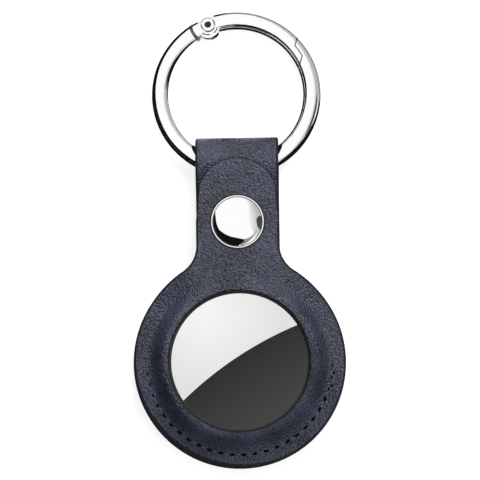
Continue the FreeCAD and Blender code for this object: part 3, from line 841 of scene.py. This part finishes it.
ringMount = [m for m in frame["record"]["mounts"] if m["name"] == "ring_eye"][0]
ringMiddle = Vector(ringMount["pos_m"]) * 1000
ringAxis = Vector(ringMount["axis"]).normalized()
ringAxis = -ringAxis if ringAxis.z < 0 else ringAxis
ring = {
    "radius": 15.2,
    "wire": 1.75,
    "pivotTurn": 111.3,
    "lapStart": 38.7,
    "lapEnd": 28.9,
    "heel": 3.46,  # the hinge's seam runs at this distance from the rivet
    "heelGap": 0.2,  # half the width between its two dark lines
    "heelSpread": 40,  # degrees that they run either way
    "lapClear": 0.06,
    "lapCross": 2.0,  # length of the nose's seam across the wire
    "probe": 6.0,  # height from which the wire's surface is felt for
    "lowest": 0.3,  # lines end where the wire falls below this height
    "line": 0.11,  # half width of the painted shade line in a joint
    "lineFeel": (-2.2, -1, 1, 2.2),  # places across it, in half widths, that set its height
    "lineLift": (0.02, -0.06),  # its upper and lower face over the wire
    "cheekStep": 2.0,
    "rivetR": 1.3,
    "rivetSeat": 1.4,
    "rivetTop": 1.7,
    "shankR": 0.6,
    "dishR": 0.74,
    "dishDeep": 0.34,
}


def ringPolar(radius, angle):
    return Vector((cos(radians(angle)), sin(radians(angle)))) * radius


def onRing(x, y, z):
    # from the ring's plane to mm from the pocket's middle
    ahead = ringAxis.cross(Vector((1, 0, 0)))
    spot = ringMiddle + Vector((1, 0, 0)) * x + ahead * y + ringAxis * z
    return spot.x, spot.y - pocketY, spot.z


def ringSurface():
    # the ring's two pieces as one surface, to lay the joint lines on
    points, faces = [], []
    for node in ("ring_body", "ring_gate"):
        part = frame["nodes"][node]
        first = len(points)
        points += [part.matrix_world @ v.co for v in part.data.vertices]
        faces += [tuple(first + i for i in f.vertices) for f in part.data.polygons]
    return BVHTree.FromPolygons(points, faces)


ringTree = ringSurface()


def wireTop(spot, side):
    # height of the ring's surface over its own plane, or None beside the wire
    start = place(onRing(spot.x, spot.y, side * ring["probe"]))
    hit = ringTree.ray_cast(start, ringAxis * -side, ring["probe"] * 0.001)[0]
    return None if hit is None else ring["probe"] - (hit - start).length * 1000


def jointLine(name, path, body, side=1):
    # painted shade along a joint: a thin black strip laid on the wire
    strips = []
    for i, spot in enumerate(path):
        ahead = (path[min(i + 1, len(path) - 1)] - path[max(i - 1, 0)]).normalized()
        across = Vector((-ahead.y, ahead.x)) * ring["line"]
        found = [wireTop(spot + across * k, side) for k in ring["lineFeel"]]
        tops = [top for top in found if top is not None]
        if tops and max(tops) > ring["lowest"]:
            strips.append([(spot + across, max(tops)), (spot - across, max(tops))])
    points, faces = [], []
    for pair in strips:
        for at, top in pair:
            for lift in ring["lineLift"]:
                points.append(onRing(at.x, at.y, side * (top + lift)))
    last = 4 * (len(strips) - 1)
    for a in range(0, last, 4):
        b = a + 4
        faces += [(a, b, b + 2, a + 2), (a + 1, a + 3, b + 3, b + 1)]
        faces += [(a, a + 1, b + 1, b), (a + 2, b + 2, b + 3, a + 3)]
    faces += [(0, 2, 3, 1), (last, last + 1, last + 3, last + 2)]
    piece = newObject(name, points, faces, body, 40)
    fixNormals(piece)
    dress(piece, "chrome", paintedShadeFinish)


pivotSpot = ringPolar(ring["radius"], ring["pivotTurn"])
turns = [ring["pivotTurn"] + 90 + ring["heelSpread"] * i / 24 for i in range(-24, 25)]
for name, side, body in (("hingeSeamGate", -1, "gate"), ("hingeSeamBody", 1, "ring")):
    reach = ring["heel"] + side * ring["heelGap"]
    heelPath = [pivotSpot + ringPolar(reach, t) for t in turns]
    jointLine(name, heelPath, body)
    jointLine(name + "Under", heelPath, body, -1)


def nosePath():
    lap, lapEnd, clear, cross = ring["lapStart"], ring["lapEnd"], ring["lapClear"], ring["lapCross"]
    start, end = ringPolar(ring["radius"], lap), ringPolar(ring["radius"], lapEnd)
    fromStart, fromEnd = (start - pivotSpot).normalized(), (end - pivotSpot).normalized()
    outward = Vector((-fromStart.y, fromStart.x))
    inward = Vector((fromEnd.y, -fromEnd.x))
    path = [start + fromStart * clear + outward * (cross * (1 - i / 12)) for i in range(12)]
    path += [ringPolar(ring["radius"] + clear, lap + (lapEnd - lap) * i / 16) for i in range(17)]
    return path + [end + fromEnd * clear + inward * (cross * i / 12) for i in range(1, 13)]


jointLine("noseSeam", nosePath(), "ring")
jointLine("noseSeamUnder", nosePath(), "ring", -1)
rivetGap = [pivotSpot + ringPolar(ring["rivetR"] + ring["lapClear"], 7.5 * i) for i in range(49)]
jointLine("rivetGap", rivetGap, "gate")
# painted shadow: dark lines along the cheek's step below the rivet and to its right
for name, start, end in (("cheekStepShadeLow", -120, -78), ("cheekStepShadeRight", -54, -20)):
    turns = [start + (end - start) * i / 12 for i in range(13)]
    jointLine(name, [pivotSpot + ringPolar(ring["cheekStep"], t) for t in turns], "gate")


def rivetProfile():
    outer, top, dish, seat = ring["rivetR"], ring["rivetTop"], ring["dishR"], ring["rivetSeat"]
    low = top - ring["dishDeep"]
    half = [(0.0, low), (0.3, low + 0.02), (dish - 0.1, top - 0.12), (dish, top - 0.02), (dish + 0.06, top)]
    half += [(outer - 0.1, top), (outer - 0.02, top - 0.05), (outer, top - 0.1), (outer, seat)]
    half += [(ring["shankR"], seat), (ring["shankR"], 0.4)]
    return half + [(r, -z) for r, z in reversed(half)]


def rivetSeat(x, y, z):
    return onRing(pivotSpot.x + x, pivotSpot.y + y, z)


rivet = lathe("gateRivet", rivetProfile(), "gate", rivetSeat, 64)
dress(rivet, "chrome", chromeFinish, paintedShadeFinish)
axisSpot = place(rivetSeat(0, 0, 0))
# the dish in the rivet's head takes the black finish: painted shade
for polygon in rivet.data.polygons:
    middle = sum((rivet.data.vertices[i].co for i in polygon.vertices), Vector()) / len(polygon.vertices)
    away = (middle - axisSpot).cross(ringAxis).length * 1000
    polygon.material_index = 1 if away < ring["dishR"] - 0.08 else 0
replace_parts(rivet, "gate_pin")
print("ring: joint lines and rivet laid on")


# CAD pieces that keep their own shape get their finish here

nodeFinishes = [
    (liningFinish, ("front_lining", "back_lining")),
    (chromeFinish, ("snap_socket", "snap_stud", "snap_post", "ring_body", "ring_gate")),
    (springFinish, ("snap_spring", "gate_spring")),
    (whiteFinish, ("tag_base",)),
    (greyFinish, ("tag_cover_carrier", "tag_frame")),
    (canFinish, ("tag_battery",)),
    (brassFinish, ("tag_contacts", "tag_voice_coil")),
    (boardFinish, ("tag_board",)),
    (magnetFinish, ("tag_magnet",)),
]
for finish, nodes in nodeFinishes:
    for node in nodes:
        part = frame["nodes"][node]
        part.data.materials.clear()
        part.data.materials.append(finish)
print("CAD pieces finished")


# Studio

studio = {
    "floor": "#c4c4c4",
    "floorHalf": 3.0,
    "floorDrop": 0.0001,
    "tableGlow": 0.62,  # opal table lit from below, which thins the shadows
    "worldLevel": 0.86,  # white room round the table
    "mirrorLevel": 1.12,  # the same room as the polished metal sees it
    "softboxes": (  # name, place, size, power
        ("keySoftbox", (0.09, 0.21, 0.28), 0.26, 1.1),
        ("fillSoftbox", (0.26, -0.20, 0.36), 0.16, 0.35),
    ),
    "aim": (0, -0.005, 0),  # where the softboxes point
    "photoMm": 0.2,  # one photo pixel on the object
    "photoWide": 480,
    "cameraHeight": 1.0,
    "aimZ": 5.0,
    "lean": 0.80,  # degrees that the object leans left in the photo
    "fromLeft": -1.0,  # degrees that the camera stands off the vertical
    "fromBelow": 5.0,
    "pocketPixel": (239.9, 362.7),
}


def cardPaper(name, low, high=None, level=1.0):
    # matt card; with two tones it is graded from its foot to its top
    material, tree = newMaterial(name)
    if high:
        upright = addNode(tree, "TexCoord").outputs["UV"]
        split = addNode(tree, "SeparateXYZ", links={"Vector": upright})
        tone = addNode(tree, "ValToRGB", {"stops": ((0.0, low), (1.0, high))}, {"Fac": split.outputs["Y"]})
        glow = addNode(tree, "Emission", {"Strength": level}, {"Color": tone})
    else:
        glow = addNode(tree, "Emission", {"Color": linear(low), "Strength": level})
    addNode(tree, "OutputMaterial", links={"Surface": glow})
    return material


def addCard(name, points, faces, paper, uvs=None):
    # a reflector card that only the glossy surfaces see
    card = meshObject(name, [Vector(p) * 0.001 for p in points], faces)
    if uvs:
        layer = card.data.uv_layers.new(name="card")
        for corner in card.data.loops:
            layer.data[corner.index].uv = uvs[corner.vertex_index]
    card.data.materials.append(paper)
    for rays in ("camera", "diffuse", "shadow", "transmission"):
        setattr(card, "visible_" + rays, False)


def wallCard(name, distance, steps, paper, middle=(0, 0)):
    # a curved card standing round a spot: (azimuth, foot elevation, top elevation) in degrees
    points, uvs = [], []
    for azimuth, low, high in steps:
        foot = ringPolar(distance, azimuth)
        for level in (low, high):
            points.append((middle[0] + foot.x, middle[1] + foot.y, distance * tan(radians(level))))
        uvs += [(0, 0), (0, 1)]
    faces = [(2 * i, 2 * i + 2, 2 * i + 3, 2 * i + 1) for i in range(len(steps) - 1)]
    addCard(name, points, faces, paper, uvs)


def between(stops, count):
    # evenly spaced steps on a smooth curve through the listed stops
    out = []
    for i in range(len(stops) - 1):
        near = stops[max(i - 1, 0)], stops[i], stops[i + 1], stops[min(i + 2, len(stops) - 1)]
        for k in range(count):
            t = k / count
            step = [stops[i][0] + (stops[i + 1][0] - stops[i][0]) * t]
            for p, u, v, q in zip(*(stop[1:] for stop in near)):
                bend = t * t * (p - 2.5 * u + 2 * v - q / 2) + t ** 3 * (1.5 * u - p / 2 - 1.5 * v + q / 2)
                step.append(u + t * (v - p) / 2 + bend)
            out.append(tuple(step))
    return out + [stops[-1]]


def crescent(name, start, end, near, far, paper, height):
    # a low card along the ring, near and far being distances from the ring's middle
    points, count = [], 60
    for i in range(count + 1):
        turn = start + (end - start) * i / count
        swell = smooth(min(i, count - i) / (count * 0.22))
        for reach in (near, near + (far - near) * swell):
            spot = ringMiddle.xy + ringPolar(reach, turn)
            points.append((spot.x, spot.y, height))
    faces = [(2 * i, 2 * i + 1, 2 * i + 3, 2 * i + 2) for i in range(count)]
    addCard(name, points, faces, paper)


blackPaper = cardPaper("blackCard", "#141414")
charcoalPaper = cardPaper("charcoalCard", "#4a4a49")
greyPaper = cardPaper("greyCard", "#9a9a9a")
gradedPaper = cardPaper("gradedGreyCard", "#989898", "#ffffff", studio["mirrorLevel"])
tagPaper = cardPaper("gradedCharcoalCard", "#3c3c3b", "#525251")
overheadPaper = cardPaper("overheadDiffuser", "#ebebeb", "#ffffff", 1.35)

# dark side of the room at the lower left, greyer cards opposite, and two small ones by the ring:
# name, paper, middle, distance in mm, steps between the stops, stops
room = (0, 0)
standingCards = [
    ("darkWall", blackPaper, room, 260, 10,
     [(118, 0, 2), (146, 0, 10), (163, 0, 21), (180, 0, 27), (196, 0, 31), (212, 0, 38), (230, 0, 43),
      (250, 0, 46), (264, 13, 46), (276, 25, 44), (290, 31, 39)]),
    ("greyBand", greyPaper, room, 262, 10, [(276, 20, 42), (300, 25, 36), (340, 29, 31)]),
    ("sidePatch", charcoalPaper, room, 258, 8, [(-16, 13, 21), (-9, 11, 31), (11, 11, 34), (19, 14, 27)]),
    ("lowWall", blackPaper, room, 264, 10,
     [(284, 0, 5), (300, 0, 14), (330, 0, 14), (348, 0, 6), (356, 0, 1)]),
    ("innerScreen", blackPaper, ringMiddle, 6.5, 10, [(110, 0, 4), (126, 0, 42), (150, 0, 42), (178, 0, 4)]),
    ("lowRightCard", blackPaper, ringMiddle, 22, 8,
     [(296, 2, 14), (306, 2, 20), (322, 3, 19), (338, 4, 13), (352, 5, 6)]),
    ("gradedCard", gradedPaper, room, 300, 10, [(-52, 0, 8), (-20, 0, 52), (40, 0, 52), (80, 0, 10)]),
]
for name, paper, middle, distance, steps, stops in standingCards:
    wallCard(name, distance, between(stops, steps), paper, middle)

# cards that lie on the table along the ring: name, start, end, near, far, paper, height
ringOuter = ring["radius"] + ring["wire"]
ringInner = ring["radius"] - ring["wire"]
tableCards = [
    ("outerTableCard", 92, 362, ringOuter + 0.25, 240, blackPaper, 0.02),
    ("innerTableCard", 118, -58, ringInner - 0.4, -7, blackPaper, 0.02),
    ("paleTableCard", 128, -24, ringOuter + 0.2, 60, greyPaper, 0.01),
]
for tableCard in tableCards:
    crescent(*tableCard)

# the dark card over the lower right of the tag, whose curved edge the polished cover mirrors
tagCard = {
    "height": 6.0,  # over the cover's level
    "level": 10.0,
    "apex": (-0.36, 1.02),  # where its edge crosses the cover, from the pocket's middle
    "normal": (0.539, -0.842),
    "bow": 78.8,  # radius of that edge as seen on the cover
    "coverCurve": 148.5,  # the dome's radius of curvature
    "reach": 14.9,
    "halfTurn": 0.24,  # half the edge's length, in radians of its bow
    "fade": 13.0,  # the card's tone rises over this distance from its edge
    "leftTurn": 168,  # left of this it ends just outside the cover
    "leftOver": 0.6,
    "far": 34,  # then it reaches out, over the lower left of the rim,
    "narrow": 16,  # and is narrower by this much to the right
    "narrowFrom": 235,
    "narrowRun": 70,
    "rightBack": 8,
}


def mirrored(point, cameraAt):
    # where a ray from the camera, mirrored at that point of the cover, meets the card's height
    h, far = tagCard["height"], studio["cameraHeight"] * 1000
    grow = 1 + h / far + 2 * h / tagCard["coverCurve"]
    return tuple(p * grow - c * h / far for p, c in zip(point, cameraAt))


def eyeRays(tree):
    # 1 for what the camera sees, also by way of metal or glass
    rays = addNode(tree, "LightPath")
    seen = rays.outputs["Is Camera Ray"]
    for kind in ("Is Glossy Ray", "Is Transmission Ray"):
        seen = addNode(tree, "Math", {"operation": "MAXIMUM"}, {0: seen, 1: rays.outputs[kind]})
    return seen


half = studio["floorHalf"]
floorCorners = [(-half, -half, 0), (half, -half, 0), (half, half, 0), (-half, half, 0)]
floor = meshObject("floor", floorCorners, [(0, 1, 2, 3)])
floor.location.z = -studio["floorDrop"]
# opal acrylic light table: matt grey-white sheet whose glow makes the background white
opalFinish, tree = newMaterial("opalTable")
glow = addNode(tree, "Math", {"operation": "MULTIPLY", 1: studio["tableGlow"]}, {0: eyeRays(tree)})
opal = addNode(tree, "BsdfPrincipled",
               {"Base Color": linear(studio["floor"]), "Roughness": 1.0, "Specular IOR Level": 0.0,
                "Emission Color": (1, 1, 1, 1)},
               {"Emission Strength": glow})
addNode(tree, "OutputMaterial", links={"Surface": opal})
floor.data.materials.append(opalFinish)

world = bpy.data.worlds.new("studioWorld")
scene.world = world
world.use_nodes = True
tree = world.node_tree
tree.nodes.clear()
level = addNode(tree, "MapRange",
                {"To Min": studio["worldLevel"], "To Max": studio["mirrorLevel"]}, {"Value": eyeRays(tree)})
sky = addNode(tree, "Background", {"Color": (1, 1, 1, 1)}, {"Strength": level})
addNode(tree, "OutputWorld", links={"Surface": sky})

# the softboxes are flagged off the polished metal, which mirrors only the room and its cards
mattPieces = bpy.data.collections.new("mattPieces")
polished = {"ring_body", "ring_gate", "snapCap", "gateRivet", "tagCover"}
for piece in scene.collection.all_objects:
    if piece.type == "MESH" and piece.name not in polished:
        mattPieces.objects.link(piece)
for name, at, size, power in studio["softboxes"]:
    lamp = bpy.data.lights.new(name, "AREA")
    lamp.shape = "DISK"
    lamp.size = size
    lamp.energy = power
    box = bpy.data.objects.new(name, lamp)
    box.location = at
    box.rotation_euler = (Vector(studio["aim"]) - Vector(at)).to_track_quat("-Z", "Y").to_euler()
    box.light_linking.receiver_collection = mattPieces
    scene.collection.objects.link(box)

camera = bpy.data.cameras.new("camera")
camera.sensor_width = 36.0
photoSpan = studio["photoWide"] * studio["photoMm"] * 0.001
camera.lens = camera.sensor_width * studio["cameraHeight"] / photoSpan
camera.clip_end = 10.0
cameraObject = bpy.data.objects.new("camera", camera)
lean = radians(studio["lean"])
leanUp = Vector((sin(lean), cos(lean), 0))
leanSide = Vector((cos(lean), -sin(lean), 0))
dx = (studio["photoWide"] / 2 - studio["pocketPixel"][0]) * studio["photoMm"]
dy = (studio["pocketPixel"][1] - studio["photoWide"] / 2) * studio["photoMm"]
aim = (leanSide * dx + leanUp * dy + Vector((0, pocketY, studio["aimZ"]))) * 0.001
tilts = [-tan(radians(studio[side])) for side in ("fromLeft", "fromBelow")]
back = Vector((tilts[0], tilts[1], 1)).normalized()
up = (leanUp - back * back.dot(leanUp)).normalized()
turn = Matrix((up.cross(back), up, back)).transposed().to_4x4()
cameraObject.matrix_world = Matrix.Translation(aim + back * studio["cameraHeight"]) @ turn
scene.collection.objects.link(cameraObject)
scene.camera = cameraObject


def tagCardLoop(across):
    # the card's outline, worked out from where the camera sees it in the cover
    cameraSpot = cameraObject.matrix_world.translation * 1000
    cameraAt = (cameraSpot.x, cameraSpot.y - pocketY)
    along = Vector((-across.y, across.x))
    bow, leftTurn = tagCard["bow"], tagCard["leftTurn"]
    bowMiddle = Vector(tagCard["apex"]) + across * bow
    turns = [i / 40 * tagCard["halfTurn"] for i in range(-40, 41)]
    edge = [bowMiddle - across * (bow * cos(t)) + along * (bow * sin(t)) for t in turns]
    edge = [spot for spot in edge if spot.length < tagCard["reach"]]
    if edge[0].x > edge[-1].x:
        edge.reverse()
    left, right = (degrees(atan2(end.y, end.x)) % 360 for end in (edge[0], edge[-1]))
    seen = list(reversed(edge))
    for i in range(1, 21):
        seen.append(ringPolar(tagCard["reach"] + tagCard["leftOver"], left + (leftTurn - left) * i / 20))
    for i in range(61):
        turn = leftTurn + (360 + right - tagCard["rightBack"] - leftTurn) * i / 60
        narrow = smooth((turn - tagCard["narrowFrom"]) / tagCard["narrowRun"])
        seen.append(ringPolar(tagCard["far"] - tagCard["narrow"] * narrow, turn))
    return [mirrored(spot, cameraAt) for spot in seen]


across = Vector(tagCard["normal"]).normalized()
cardLoop = tagCardLoop(across)
fades = [(0, (Vector(p) - Vector(tagCard["apex"])).dot(across) / tagCard["fade"]) for p in cardLoop]
cardPoints = [(x, y + pocketY, tagCard["level"] + tagCard["height"]) for x, y in cardLoop]
addCard("tagCard", cardPoints, [tuple(range(len(cardLoop)))], tagPaper, fades)

# round diffuser high above the table, brightest in its middle
diffuser = {"middle": (-39, 44, 300), "radius": 78, "steps": 64}
steps = diffuser["steps"]
center = Vector(diffuser["middle"])
rimSpots = [center + ringPolar(diffuser["radius"], 360 * i / steps).to_3d() for i in range(steps)]
fan = [(0, i + 1, (i + 1) % steps + 1) for i in range(steps)]
addCard("overheadDiffuser", [center] + rimSpots, fan, overheadPaper, [(0, 1)] + [(0, 0)] * steps)
print("studio set")

scene.view_settings.view_transform = "Standard"

print("scene ready")
